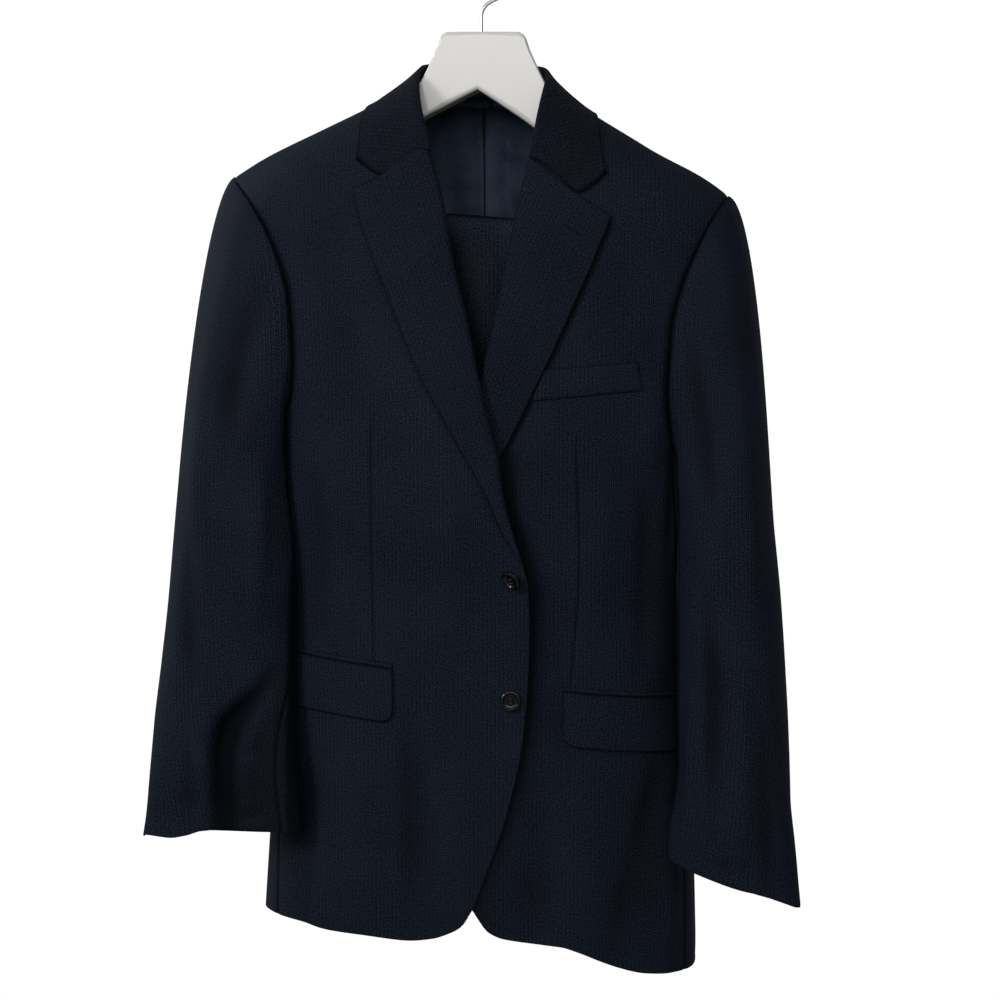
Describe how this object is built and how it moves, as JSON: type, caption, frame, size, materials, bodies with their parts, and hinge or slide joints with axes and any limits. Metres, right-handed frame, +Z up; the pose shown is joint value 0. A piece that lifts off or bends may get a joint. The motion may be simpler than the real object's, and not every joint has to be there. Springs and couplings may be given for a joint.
{
  "type": "two-piece suit on a hanger",
  "caption": "Unbuttoned single-breasted jacket with notch lapels and flap pockets on a wide hanger, trousers folded over its bar.",
  "frame": {"origin": "inside top of the hanger's hook, where a rail bears", "axes": "+Z up, the front of the suit faces -Y, the wearer's left is at +X"},
  "size_m": [0.604, 0.1904, 0.94],
  "materials": {
    "suiting": "dark navy worsted wool with a fine shadow stripe",
    "lining": "smooth navy satin lining",
    "button": "glossy dark brown",
    "hanger": "glossy warm white",
    "wire": "bright plated wire"
  },
  "bodies": {
    "root": {"right_front": "suiting", "left_front": "suiting", "right_side_panel": "suiting", "left_side_panel": "suiting", "back_right": "suiting", "back_left": "suiting", "right_lapel": "suiting", "left_lapel": "suiting", "collar": "suiting", "right_top_sleeve": "suiting", "right_under_sleeve": "suiting", "left_top_sleeve": "suiting", "left_under_sleeve": "suiting", "breast_welt": "suiting", "right_flap": "suiting", "left_flap": "suiting", "right_jetting": "suiting", "left_jetting": "suiting", "back_lining": "lining", "trouser_legs": "suiting", "trouser_waistband": "suiting", "upper_front_button": "button", "lower_front_button": "button", "right_cuff_button_1": "button", "right_cuff_button_2": "button", "right_cuff_button_3": "button", "right_cuff_button_4": "button", "left_cuff_button_1": "button", "left_cuff_button_2": "button", "left_cuff_button_3": "button", "left_cuff_button_4": "button", "hanger_body": "hanger", "hanger_bar": "hanger", "hook": "wire"}
  },
  "joints": []
}
